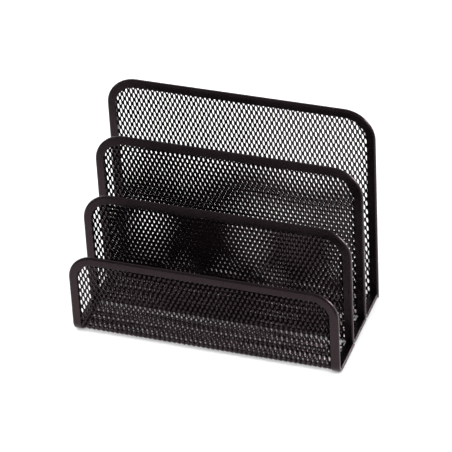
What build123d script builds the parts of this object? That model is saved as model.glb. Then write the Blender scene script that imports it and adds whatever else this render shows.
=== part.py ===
"""Desktop file sorter: three pockets between four steel-mesh uprights that rise from front to back.

Each pocket is a tray. One sheet of mesh forms its upright and, through a small bend, its floor. A folded
steel channel grips the sheet's edge all the way round, except across the floor's back end. A flat mesh
panel with a channel of its own closes the last pocket at the back.

Frame: +X right, +Y back, +Z up. The origin is at desk height, at the middle of the footprint.
"""

import math
import os

from build123d import *

# Overall size
width = 171.0
depth = 84.6

# Height of each upright's top edge, front to back
front_height = 58.0
low_height = 84.0
high_height = 110.5
back_height = 135.0

# Spacing of the uprights' middle planes
front_pocket = 29.3
middle_pocket = 26.0

# Edge channel: a steel strip folded over the sheet's edge
channel_width = 5.5
channel_thick = 2.6
slot_depth = 4.4
fold_radius = 1.1
lip_radius = 0.3

# Outer radius of the uprights' top corners: the low front one is a little tighter
front_corner = 17.0
corner = 19.5

# Mesh sheet, gripped in the channel's slot
sheet_thick = 0.9
slot_gap = 0.3

# Bend between upright and floor, at the sheet's middle plane
bend_radius = 5.5

# The two inner trays are slightly narrower than the front tray and the back panel
inner_width = width - 0.6

# The back panel's sheet stops just above the desk
back_sheet_foot = 0.5

# Places that follow from the sizes above
half_thick = channel_thick / 2
front_y = half_thick - depth / 2
low_y = front_y + front_pocket
high_y = low_y + middle_pocket
back_y = depth / 2 - half_thick
floor_z = half_thick
bend_top_z = floor_z + bend_radius
sheet_inset = channel_width - slot_depth + slot_gap

# A floor rail has a square end that stops where its top edge touches the next tray's rounded foot
foot_radius = bend_radius + half_thick
foot_setback = foot_radius - math.sqrt(foot_radius**2 - (foot_radius - channel_thick) ** 2)
front_floor_end = low_y - half_thick + foot_setback
low_floor_end = high_y - half_thick + foot_setback
high_floor_end = back_y - half_thick


def channel_section(right, y, z, normal):
    """Channel section on the right-hand edge, with its fold outwards and its slot open inwards."""
    start = Plane(origin=(right, y, z), x_dir=(1, 0, 0), z_dir=normal)
    with BuildSketch(start) as section:
        Rectangle(channel_width, channel_thick, align=(Align.MAX, Align.CENTER))
        fillet(section.vertices().group_by(Axis.X)[-1], fold_radius)
        fillet(section.vertices().group_by(Axis.X)[0], lip_radius)
        with Locations((-channel_width, 0)):
            Rectangle(slot_depth, sheet_thick, align=(Align.MIN, Align.CENTER), mode=Mode.SUBTRACT)
    return section.sketch


def tray_rim(label, outer_width, y, height, corner_radius, floor_end):
    """Channel of a tray: along the right of the floor, round the upright, and back along the left."""
    right = outer_width / 2
    with BuildLine() as edge:
        FilletPolyline(
            (right, floor_end, floor_z),
            (right, y, floor_z),
            (right, y, height),
            (-right, y, height),
            (-right, y, floor_z),
            (-right, floor_end, floor_z),
            radius=[bend_radius, corner_radius, corner_radius, bend_radius],
        )
    with BuildPart() as rim:
        sweep(sections=channel_section(right, floor_end, floor_z, (0, -1, 0)), path=edge.wire())
    rim.part.label = label
    return rim.part


def panel_rim(label, outer_width, y, height, corner_radius):
    """Channel of a flat panel: up the right side from the desk, over the top and down the left."""
    right = outer_width / 2
    with BuildLine() as edge:
        FilletPolyline(
            (right, y, 0),
            (right, y, height),
            (-right, y, height),
            (-right, y, 0),
            radius=corner_radius,
        )
    with BuildPart() as rim:
        sweep(sections=channel_section(right, y, 0, (0, 0, 1)), path=edge.wire())
    rim.part.label = label
    return rim.part


def upright_outline(outer_width, y, height, corner_radius, foot):
    """Outline of the sheet in an upright, in its plane: square at the foot, rounded at the top."""
    sheet_width = outer_width - 2 * sheet_inset
    sheet_height = height - sheet_inset - foot
    with BuildSketch(Plane(origin=(0, y, foot), x_dir=(1, 0, 0), z_dir=(0, -1, 0))) as outline:
        Rectangle(sheet_width, sheet_height, align=(Align.CENTER, Align.MIN))
        fillet(outline.vertices().group_by(Axis.Y)[-1], corner_radius - sheet_inset)
    return outline.sketch


def tray_mesh(label, outer_width, y, height, corner_radius, floor_end):
    """Mesh sheet of a tray: floor, bend and upright in one piece."""
    with BuildPart() as sheet:
        with BuildSketch(Plane(origin=(0, 0, 0), x_dir=(0, 1, 0), z_dir=(1, 0, 0))):
            with BuildLine() as profile:
                FilletPolyline((floor_end, floor_z), (y, floor_z), (y, height / 2), radius=bend_radius)
            trace(profile.line, line_width=sheet_thick)
        extrude(amount=outer_width / 2 - sheet_inset, both=True)
        outline = upright_outline(outer_width, y, height, corner_radius, bend_top_z)
        extrude(outline, amount=sheet_thick / 2, both=True)
    sheet.part.label = label
    return sheet.part


def panel_mesh(label, outer_width, y, height, corner_radius):
    """Mesh sheet of a flat panel."""
    with BuildPart() as sheet:
        outline = upright_outline(outer_width, y, height, corner_radius, back_sheet_foot)
        extrude(outline, amount=sheet_thick / 2, both=True)
    sheet.part.label = label
    return sheet.part


trays = [
    ("front_tray", width, front_y, front_height, front_corner, front_floor_end),
    ("low_tray", inner_width, low_y, low_height, corner, low_floor_end),
    ("high_tray", inner_width, high_y, high_height, corner, high_floor_end),
]
back_panel = (width, back_y, back_height, corner)

pieces = []
for name, *sizes in trays:
    pieces.append(tray_rim(name + "_rim", *sizes))
    pieces.append(tray_mesh(name + "_mesh", *sizes))
pieces.append(panel_rim("back_panel_rim", *back_panel))
pieces.append(panel_mesh("back_panel_mesh", *back_panel))

os.makedirs("parts", exist_ok=True)
for piece in pieces:
    export_step(piece, "parts/" + piece.label + ".step")
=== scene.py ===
"""Looks of the desktop file sorter: expanded-steel sheets in folded channels, all in black powder coat.

The four channels are the CAD nodes with a procedural coat. Each plain CAD sheet is replaced by real
expanded mesh: slit strands that zigzag between bonds, tilted out of the sheet, and carried round the
bend from floor to upright. Lengths are in metres.
"""

import math

import bpy
import numpy as np
from mathutils import Matrix, Vector


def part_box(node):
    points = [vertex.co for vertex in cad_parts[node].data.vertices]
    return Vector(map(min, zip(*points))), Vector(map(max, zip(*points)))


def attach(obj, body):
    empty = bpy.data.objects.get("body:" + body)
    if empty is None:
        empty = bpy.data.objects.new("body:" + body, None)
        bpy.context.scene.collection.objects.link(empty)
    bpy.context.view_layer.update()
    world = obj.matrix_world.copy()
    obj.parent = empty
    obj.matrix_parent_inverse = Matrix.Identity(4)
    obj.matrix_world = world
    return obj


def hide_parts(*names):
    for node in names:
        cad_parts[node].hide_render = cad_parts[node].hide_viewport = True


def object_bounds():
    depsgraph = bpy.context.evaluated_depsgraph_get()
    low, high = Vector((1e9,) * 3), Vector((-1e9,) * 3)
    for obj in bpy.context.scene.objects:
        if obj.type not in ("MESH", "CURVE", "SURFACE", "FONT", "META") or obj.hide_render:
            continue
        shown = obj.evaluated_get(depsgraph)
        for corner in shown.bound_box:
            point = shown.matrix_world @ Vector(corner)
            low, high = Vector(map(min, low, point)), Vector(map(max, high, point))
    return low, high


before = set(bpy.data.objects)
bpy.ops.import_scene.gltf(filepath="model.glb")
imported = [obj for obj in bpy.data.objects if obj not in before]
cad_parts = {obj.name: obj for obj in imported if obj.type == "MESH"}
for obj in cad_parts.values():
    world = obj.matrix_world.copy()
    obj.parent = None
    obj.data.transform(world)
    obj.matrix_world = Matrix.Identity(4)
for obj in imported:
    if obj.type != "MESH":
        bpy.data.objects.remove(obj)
cad_low, cad_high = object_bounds()

MM = 0.001

# Sheet, as the CAD nodes have it
SHEET_THICK = 0.9 * MM
SHEET_INSET = 1.4 * MM
BEND_RADIUS = 5.5 * MM
FRONT_CORNER = 17.0 * MM
CORNER = 19.5 * MM

# Expanded mesh: the strand's own section, its tilt out of the sheet, and the bonds between strands
STRAND_WIDTH = 0.9 * MM
STRAND_THICK = 0.7 * MM
STRAND_TILT = math.radians(45)
BOND_LENGTH = 1.8 * MM

# A bond is kept if it lies this far inside the sheet's outline
BOND_MARGIN = 0.7 * MM

# Sections of a strand for each row of bonds
STATIONS = 4

# Each sheet is cut and stretched a little differently: its diamonds' pitches, how far its columns
# lean, and how far they are shifted
FRONT_WEAVE = {"across": 3.09 * MM, "along": 5.92 * MM, "lean": 0.022, "shift": 0, "seed": 31}
LOW_WEAVE = {"across": 3.12 * MM, "along": 6.06 * MM, "lean": 0.024, "shift": 0.7 * MM, "seed": 32}
HIGH_WEAVE = {"across": 3.02 * MM, "along": 5.95 * MM, "lean": 0.0, "shift": 0, "seed": 33}
BACK_WEAVE = {"across": 3.09 * MM, "along": 6.06 * MM, "lean": 0.028, "shift": 0, "seed": 34}

# The stretch is also uneven within a sheet: the diamonds wander from their even places in long waves,
# across and along the sheet
WANDER = (0.2 * MM, 0.6 * MM)
WAVE_LENGTHS = (40 * MM, 80 * MM)
WAVES = 3

# Powder coat: black with a trace of warmth, dusty patches, and lighter where an edge is rubbed. That
# lighter edge colour is partly rubbed coat and partly a painted highlight along the edges
COAT = (0.0012, 0.0009, 0.001)
DUST = (0.003, 0.0022, 0.0025)
WORN_AND_HIGHLIGHT = (0.012, 0.0088, 0.01)
GLOSS = 0.3
GLOSS_TINT = (1.0, 0.66, 0.74)
WEAR_POLISH = 0.1

# Repeats per metre of the coat's mottling, scuffs and orange peel, and the peel's depth
MOTTLE_SCALE = 90.0
SCUFF_SCALE = 260.0
PEEL_SCALE = 2600.0
PEEL_DEPTH = 0.05 * MM

# Stage: the table's white, and how far the table and the paper lie below the sorter's feet
WHITE = 0.85
TABLE_DROP = 0.05 * MM
PAPER_DROP = 0.04 * MM

# Room: its brightness, and what is left of that in its dark parts
ROOM_STRENGTH = 1.2
ROOM_DARK = 0.14


# ---------------------------------------------------------------- the expanded sheets


def bent_path(low, high):
    """The middle line of a tray's sheet: from the floor's back end, round the bend and up."""
    upright = low.y + SHEET_THICK / 2
    floor = low.z + SHEET_THICK / 2
    floor_run = high.y - upright - BEND_RADIUS
    arc = BEND_RADIUS * math.pi / 2
    length = floor_run + arc + high.z - floor - BEND_RADIUS

    def place(along, depth):
        """y and z of a point this far along the sheet, and this deep towards the pocket's inside."""
        turn = np.clip((along - floor_run) / BEND_RADIUS, 0, math.pi / 2)
        flat = np.minimum(along, floor_run)
        rise = np.maximum(along - floor_run - arc, 0)
        y = high.y - flat - (BEND_RADIUS - depth) * np.sin(turn)
        z = floor + BEND_RADIUS - (BEND_RADIUS - depth) * np.cos(turn) + rise
        return y, z

    return length, place


def flat_path(low, high):
    """The middle line of the back panel's sheet, from its foot straight up."""
    middle = (low.y + high.y) / 2

    def place(along, depth):
        """y and z of a point this far up the sheet, and this deep towards the back."""
        return middle + depth, low.z + along

    return high.z - low.z, place


def inside_outline(x, along, half_width, length, radius):
    """Whether points of the flat sheet lie inside its outline, which is rounded at the top."""
    across = half_width - BOND_MARGIN - np.abs(x)
    up = length - BOND_MARGIN - along
    reach = radius - BOND_MARGIN
    in_corner = (across < reach) & (up < reach)
    in_arc = np.hypot(reach - across, reach - up) <= reach
    in_box = (across >= 0) & (up >= 0) & (along >= BOND_MARGIN)
    return in_box & (~in_corner | in_arc)


def strand_swing(weave):
    """How far a strand's middle swings across and through the sheet, to either side."""
    across = (weave["across"] / 2 - STRAND_WIDTH * math.cos(STRAND_TILT)) / 2
    through = STRAND_WIDTH * math.sin(STRAND_TILT) / 2
    return across, through


def strand_corners(x, along, swing, weave):
    """The four corners of the strands' sections: left front, right front, right back, left back."""
    swing_across, swing_through = strand_swing(weave)
    half_w, half_t = STRAND_WIDTH / 2, STRAND_THICK / 2
    tilt_cos, tilt_sin = math.cos(STRAND_TILT), math.sin(STRAND_TILT)
    corners = []
    for side, face in ((-1, -1), (1, -1), (1, 1), (-1, 1)):
        across = x + swing * swing_across + side * half_w * tilt_cos - face * half_t * tilt_sin
        depth = -swing * swing_through + side * half_w * tilt_sin + face * half_t * tilt_cos
        corners.append(np.stack(np.broadcast_arrays(across, along, depth), -1))
    return np.stack(corners, -2)


def uneven_stretch(weave, length):
    """Moves points from their even places in the sheet: its columns lean, and its diamonds wander."""
    rng = np.random.default_rng(weave["seed"])
    heading = rng.uniform(0, math.pi, WAVES)
    turns = math.tau / rng.uniform(*WAVE_LENGTHS, WAVES)
    start = rng.uniform(0, math.tau, (2, WAVES))

    def move(x, along):
        run = x[..., None] * np.cos(heading) + along[..., None] * np.sin(heading)
        across_shift = WANDER[0] * np.sin(run * turns + start[0]).mean(-1)
        along_shift = WANDER[1] * np.sin(run * turns + start[1]).mean(-1)
        lean = weave["shift"] + weave["lean"] * (length / 2 - along)
        return x + lean + across_shift, along + along_shift

    return move


def bond_masks(strands, rows, half_width, length, radius, weave):
    """Which strands are held at each bond row, and which of them are the bond's left member."""
    index = np.arange(strands)[:, None]
    row = np.arange(rows)[None, :]
    leads = (index + row) % 2 == 0
    pair = np.where(leads, index, index - 1)
    along = (row - 0.5) * weave["along"] / 2
    middle = (pair + 0.5 - (strands - 1) / 2) * weave["across"] / 2
    middle, along = uneven_stretch(weave, length)(*np.broadcast_arrays(middle, along))
    held = inside_outline(middle, along, half_width, length, radius)
    held &= (pair >= 0) & (pair + 1 < strands)
    return held, leads


def strand_stations(strands, rows, leads, weave):
    """Section corners along every strand, four sections to a bond row.

    They are the bond's two ends, then a third and two thirds of the way to the next bond. A strand
    swings to one side at a bond and to the other at the next.
    """
    row_gap = weave["along"] / 2
    half_bond = BOND_LENGTH / 2
    stub = half_bond + (row_gap - BOND_LENGTH) / 3
    steps = np.array([-half_bond, half_bond, stub, row_gap - stub])
    swing = np.array([1, 1, 1 / 3, -1 / 3])
    side = np.where(leads, 1.0, -1.0)[:, :, None]
    along = ((np.arange(rows) - 0.5) * row_gap)[None, :, None] + steps
    x = ((np.arange(strands) - (strands - 1) / 2) * weave["across"] / 2)[:, None, None]
    return strand_corners(x, along, side * swing, weave).reshape(strands, rows * STATIONS, 4, 3)


def shared_corner_ids(strands, rows, leads):
    """A number for every section corner. A bond's two strands share the corners where they meet."""
    ids = np.arange(strands * rows * STATIONS * 4).reshape(strands, rows * STATIONS, 4)
    at_bond = np.repeat(leads, STATIONS, axis=1) & np.tile([True, True, False, False], rows)
    meet = at_bond[:-1]
    for left_corner, right_corner in ((0, 1), (3, 2)):
        ids[1:, :, left_corner][meet] = ids[:-1, :, right_corner][meet]
    return ids


def strand_quads(ids, held, leads, rows):
    """Faces of the strands that are kept: their sides, except inside a bond, and caps at their ends."""
    # Segments of a row: the bond, the stub after it, the free middle, the stub before the next bond
    following = np.zeros_like(held)
    following[:, :-1] = held[:, 1:]
    kept = np.stack([held, held, held & following, following], -1).reshape(ids.shape[:2])
    kept[:, -1] = False
    is_bond = np.tile([True, False, False, False], rows)
    left_member = np.repeat(leads, STATIONS, axis=1)
    next_ids = np.roll(ids, -1, axis=1)
    right_side = kept & ~(is_bond & left_member)
    left_side = kept & ~(is_bond & ~left_member)
    quads = []
    for a, b, shown in ((0, 1, kept), (1, 2, right_side), (2, 3, kept), (3, 0, left_side)):
        side = np.stack([ids[..., a], ids[..., b], next_ids[..., b], next_ids[..., a]], -1)
        quads.append(side[shown])

    starts = kept & ~np.roll(kept, 1, axis=1)
    ends = kept & ~np.roll(kept, -1, axis=1)
    quads.append(ids[starts][:, ::-1])
    quads.append(next_ids[ends])
    return np.concatenate(quads)


def lattice(half_width, length, radius, weave):
    """Vertices (across, along, depth) and quads of one flat expanded sheet, closed everywhere."""
    half_reach = half_width + weave["shift"] + weave["lean"] * length / 2 + WANDER[0]
    strands = 2 * math.floor(half_reach / (weave["across"] / 2)) + 2
    rows = math.floor(length / (weave["along"] / 2)) + 3
    held, leads = bond_masks(strands, rows, half_width, length, radius, weave)
    points = strand_stations(strands, rows, leads, weave)
    stretch = uneven_stretch(weave, length)
    points[..., 0], points[..., 1] = stretch(points[..., 0], points[..., 1])
    quads = strand_quads(shared_corner_ids(strands, rows, leads), held, leads, rows)
    used, quads = np.unique(quads, return_inverse=True)
    return points.reshape(-1, 3)[used], quads.reshape(-1, 4)


def expanded_sheet(node, radius, path, weave, material):
    """A mesh sheet in the place of a CAD node's plain sheet."""
    low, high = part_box(node)
    length, place = path(low, high)
    half_width = (high.x - low.x) / 2
    flat, quads = lattice(half_width, length, radius, weave)
    y, z = place(flat[:, 1], flat[:, 2])
    verts = np.stack([flat[:, 0], y, z], -1)
    mesh = bpy.data.meshes.new(node + "_expanded")
    mesh.from_pydata(verts.tolist(), [], quads.tolist())
    mesh.validate()
    mesh.update()
    mesh.materials.append(material)
    piece = bpy.data.objects.new(node + "_expanded", mesh)
    bpy.context.scene.collection.objects.link(piece)
    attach(piece, "root")
    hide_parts(node)


# ---------------------------------------------------------------- materials


def new_material(name):
    """A material with its node tree, Principled shader and a small helper to add nodes."""
    material = bpy.data.materials.new(name)
    material.use_nodes = True
    tree = material.node_tree
    shader = tree.nodes["Principled BSDF"]

    def add(kind, **settings):
        node = tree.nodes.new(kind)
        for key, value in settings.items():
            if hasattr(node, key):
                setattr(node, key, value)
            else:
                node.inputs[key].default_value = value
        return node

    return material, tree.links.new, shader, add


def powder_coat(name, rough_low, rough_high, edge_band_radius):
    """Black powder coat: faint mottling, orange peel, and edges rubbed a little lighter and smoother.
    The lighter edge colour is partly rubbed coat, partly a painted highlight.
    """
    material, link, shader, add = new_material(name)
    place = add("ShaderNodeTexCoord")

    mottle = add("ShaderNodeTexNoise", Scale=MOTTLE_SCALE, Detail=3.0)
    link(place.outputs["Object"], mottle.inputs["Vector"])
    colour = add("ShaderNodeValToRGB")
    colour.color_ramp.elements[0].position = 0.35
    colour.color_ramp.elements[0].color = (*COAT, 1)
    colour.color_ramp.elements[1].position = 0.75
    colour.color_ramp.elements[1].color = (*DUST, 1)
    link(mottle.outputs["Fac"], colour.inputs["Fac"])

    bevel = add("ShaderNodeBevel", samples=4, Radius=edge_band_radius)
    geometry = add("ShaderNodeNewGeometry")
    facing = add("ShaderNodeVectorMath", operation="DOT_PRODUCT")
    link(bevel.outputs["Normal"], facing.inputs[0])
    link(geometry.outputs["Normal"], facing.inputs[1])
    edge = add("ShaderNodeMapRange")
    edge.inputs["From Min"].default_value = 0.99
    edge.inputs["From Max"].default_value = 0.8
    link(facing.outputs["Value"], edge.inputs["Value"])
    scuff = add("ShaderNodeTexNoise", Scale=SCUFF_SCALE, Detail=4.0)
    link(place.outputs["Object"], scuff.inputs["Vector"])
    patchy = add("ShaderNodeMapRange")
    patchy.inputs["From Min"].default_value = 0.4
    patchy.inputs["From Max"].default_value = 0.7
    link(scuff.outputs["Fac"], patchy.inputs["Value"])
    wear_and_highlight = add("ShaderNodeMath", operation="MULTIPLY")
    link(edge.outputs["Result"], wear_and_highlight.inputs[0])
    link(patchy.outputs["Result"], wear_and_highlight.inputs[1])

    # Painted highlight: edges, in scuffed patches, are mixed towards a lighter colour, partly rubbed
    # coat and partly a painted highlight along the edges
    worn_and_highlight = add("ShaderNodeMix", data_type="RGBA")
    worn_and_highlight.inputs["B"].default_value = (*WORN_AND_HIGHLIGHT, 1)
    link(wear_and_highlight.outputs["Value"], worn_and_highlight.inputs["Factor"])
    link(colour.outputs["Color"], worn_and_highlight.inputs["A"])
    link(worn_and_highlight.outputs["Result"], shader.inputs["Base Color"])

    rough = add("ShaderNodeMapRange")
    rough.inputs["To Min"].default_value = rough_low
    rough.inputs["To Max"].default_value = rough_high
    link(scuff.outputs["Fac"], rough.inputs["Value"])
    smoother = add("ShaderNodeMath", operation="MULTIPLY_ADD")
    smoother.inputs[1].default_value = -WEAR_POLISH
    link(wear_and_highlight.outputs["Value"], smoother.inputs[0])
    link(rough.outputs["Result"], smoother.inputs[2])
    link(smoother.outputs["Value"], shader.inputs["Roughness"])

    grain = add("ShaderNodeTexNoise", Scale=PEEL_SCALE, Detail=2.0)
    link(place.outputs["Object"], grain.inputs["Vector"])
    bump = add("ShaderNodeBump", Strength=0.2, Distance=PEEL_DEPTH)
    link(grain.outputs["Fac"], bump.inputs["Height"])
    link(bump.outputs["Normal"], shader.inputs["Normal"])
    shader.inputs["Specular IOR Level"].default_value = GLOSS
    shader.inputs["Specular Tint"].default_value = (*GLOSS_TINT, 1)
    return material


def paint_node(node, material):
    """Gives a CAD node a material of this script's own, in its slots."""
    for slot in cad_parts[node].material_slots:
        slot.material = material


# ---------------------------------------------------------------- stage, light and camera


def add_plane(name, low, high, height, material):
    """A flat rectangle of the stage."""
    mesh = bpy.data.meshes.new(name)
    corners = [(low[0], low[1], 0), (high[0], low[1], 0), (high[0], high[1], 0), (low[0], high[1], 0)]
    mesh.from_pydata(corners, [], [(0, 1, 2, 3)])
    mesh.materials.append(material)
    plane = bpy.data.objects.new(name, mesh)
    plane.location.z = height
    bpy.context.scene.collection.objects.link(plane)
    return plane


def make_floor():
    """A plain white table. The gloss of the coat sees only its lit middle, as a paper on the table."""
    material, _, shader, _ = new_material("table")
    shader.inputs["Base Color"].default_value = (WHITE, WHITE, WHITE, 1)
    shader.inputs["Roughness"].default_value = 0.9
    table = add_plane("table", (-30, -30), (30, 30), cad_low.z - TABLE_DROP, material)
    table.visible_glossy = False
    paper = add_plane("paper", (-0.6, -0.12), (0.6, 0.9), cad_low.z - PAPER_DROP, material)
    paper.visible_camera = False
    paper.visible_diffuse = False
    paper.visible_shadow = False


def make_world():
    """A soft room: pale all round and behind, dark high up over the camera and below the table."""
    world = bpy.data.worlds.new("room")
    bpy.context.scene.world = world
    world.use_nodes = True
    nodes, link = world.node_tree.nodes, world.node_tree.links.new
    place = nodes.new("ShaderNodeTexCoord")
    split = nodes.new("ShaderNodeSeparateXYZ")
    link(place.outputs["Generated"], split.inputs["Vector"])

    def fade(axis, start, end):
        """From 0 to 1 as the direction's part along an axis goes from start to end."""
        node = nodes.new("ShaderNodeMapRange")
        node.inputs["From Min"].default_value = start
        node.inputs["From Max"].default_value = end
        link(split.outputs[axis], node.inputs["Value"])
        return node.outputs["Result"]

    def combine(kind, a, b):
        """Two values joined by a maths node."""
        node = nodes.new("ShaderNodeMath")
        node.operation = kind
        link(a, node.inputs[0])
        link(b, node.inputs[1])
        return node.outputs["Value"]

    over_camera = combine("MULTIPLY", fade("Z", 0.15, 0.45), fade("Y", 0.35, -0.1))
    dark = combine("MAXIMUM", over_camera, fade("Z", -0.02, -0.12))
    shade = nodes.new("ShaderNodeMix")
    shade.data_type = "RGBA"
    shade.inputs["A"].default_value = (1, 1, 1, 1)
    shade.inputs["B"].default_value = (ROOM_DARK, ROOM_DARK, ROOM_DARK, 1)
    link(dark, shade.inputs["Factor"])
    link(shade.outputs["Result"], nodes["Background"].inputs["Color"])
    nodes["Background"].inputs["Strength"].default_value = ROOM_STRENGTH


def direction(azimuth, elevation):
    """Unit vector from the sorter to a place, in degrees: azimuth 0 is in front, and 90 to its right."""
    azimuth, elevation = math.radians(azimuth), math.radians(elevation)
    level = math.cos(elevation)
    return Vector((math.sin(azimuth) * level, -math.cos(azimuth) * level, math.sin(elevation)))


def add_softbox(name, azimuth, elevation, distance, size, power):
    """A square soft light that faces the sorter, and that only the gloss of its coat sees."""
    away = direction(azimuth, elevation)
    light = bpy.data.lights.new(name, "AREA")
    light.size = size
    light.energy = power
    lamp = bpy.data.objects.new(name, light)
    lamp.location = (cad_low + cad_high) / 2 + away * distance
    lamp.rotation_euler = away.to_track_quat("Z", "Y").to_euler()
    lamp.visible_camera = False
    lamp.visible_diffuse = False
    bpy.context.scene.collection.objects.link(lamp)


def add_overhead(tilt, spread, strength):
    """One broad light from above, tilted towards the front. The gloss of the coat doesn't see it."""
    light = bpy.data.lights.new("overhead", "SUN")
    light.angle = math.radians(spread)
    light.energy = strength
    lamp = bpy.data.objects.new("overhead", light)
    lamp.rotation_euler.x = math.radians(tilt)
    lamp.visible_glossy = False
    bpy.context.scene.collection.objects.link(lamp)


def add_camera(aim_right, aim_down, azimuth, elevation, roll, distance, lens):
    """A long lens, high and to the right of the sorter's front, rolled a little."""
    aim = (cad_low + cad_high) / 2 + Vector((aim_right, 0, -aim_down))
    back = direction(azimuth, elevation)
    data = bpy.data.cameras.new("camera")
    data.lens = lens
    data.sensor_width = 36
    camera = bpy.data.objects.new("camera", data)
    turn = (-back).to_track_quat("-Z", "Y").to_matrix() @ Matrix.Rotation(math.radians(roll), 3, "Z")
    camera.matrix_world = Matrix.Translation(aim + back * distance) @ turn.to_4x4()
    bpy.context.scene.collection.objects.link(camera)
    bpy.context.scene.camera = camera


# ---------------------------------------------------------------- the scene

rim_coat = powder_coat("rim_coat", rough_low=0.2, rough_high=0.32, edge_band_radius=0.5 * MM)
mesh_coat = powder_coat("mesh_coat", rough_low=0.15, rough_high=0.24, edge_band_radius=0.1 * MM)

expanded_sheet("front_tray_mesh", FRONT_CORNER - SHEET_INSET, bent_path, FRONT_WEAVE, mesh_coat)
expanded_sheet("low_tray_mesh", CORNER - SHEET_INSET, bent_path, LOW_WEAVE, mesh_coat)
expanded_sheet("high_tray_mesh", CORNER - SHEET_INSET, bent_path, HIGH_WEAVE, mesh_coat)
expanded_sheet("back_panel_mesh", CORNER - SHEET_INSET, flat_path, BACK_WEAVE, mesh_coat)
for rim in ("front_tray_rim", "low_tray_rim", "high_tray_rim", "back_panel_rim"):
    paint_node(rim, rim_coat)

make_floor()
make_world()
add_overhead(tilt=38, spread=100, strength=5.0)
add_softbox("right_box", azimuth=130, elevation=20, distance=2.2, size=0.7, power=60)
add_camera(
    aim_right=2.44 * MM,
    aim_down=1.15 * MM,
    azimuth=20.43,
    elevation=34.9,
    roll=-3.18,
    distance=1.808,
    lens=238.3,
)
bpy.context.scene.view_settings.view_transform = "Standard"
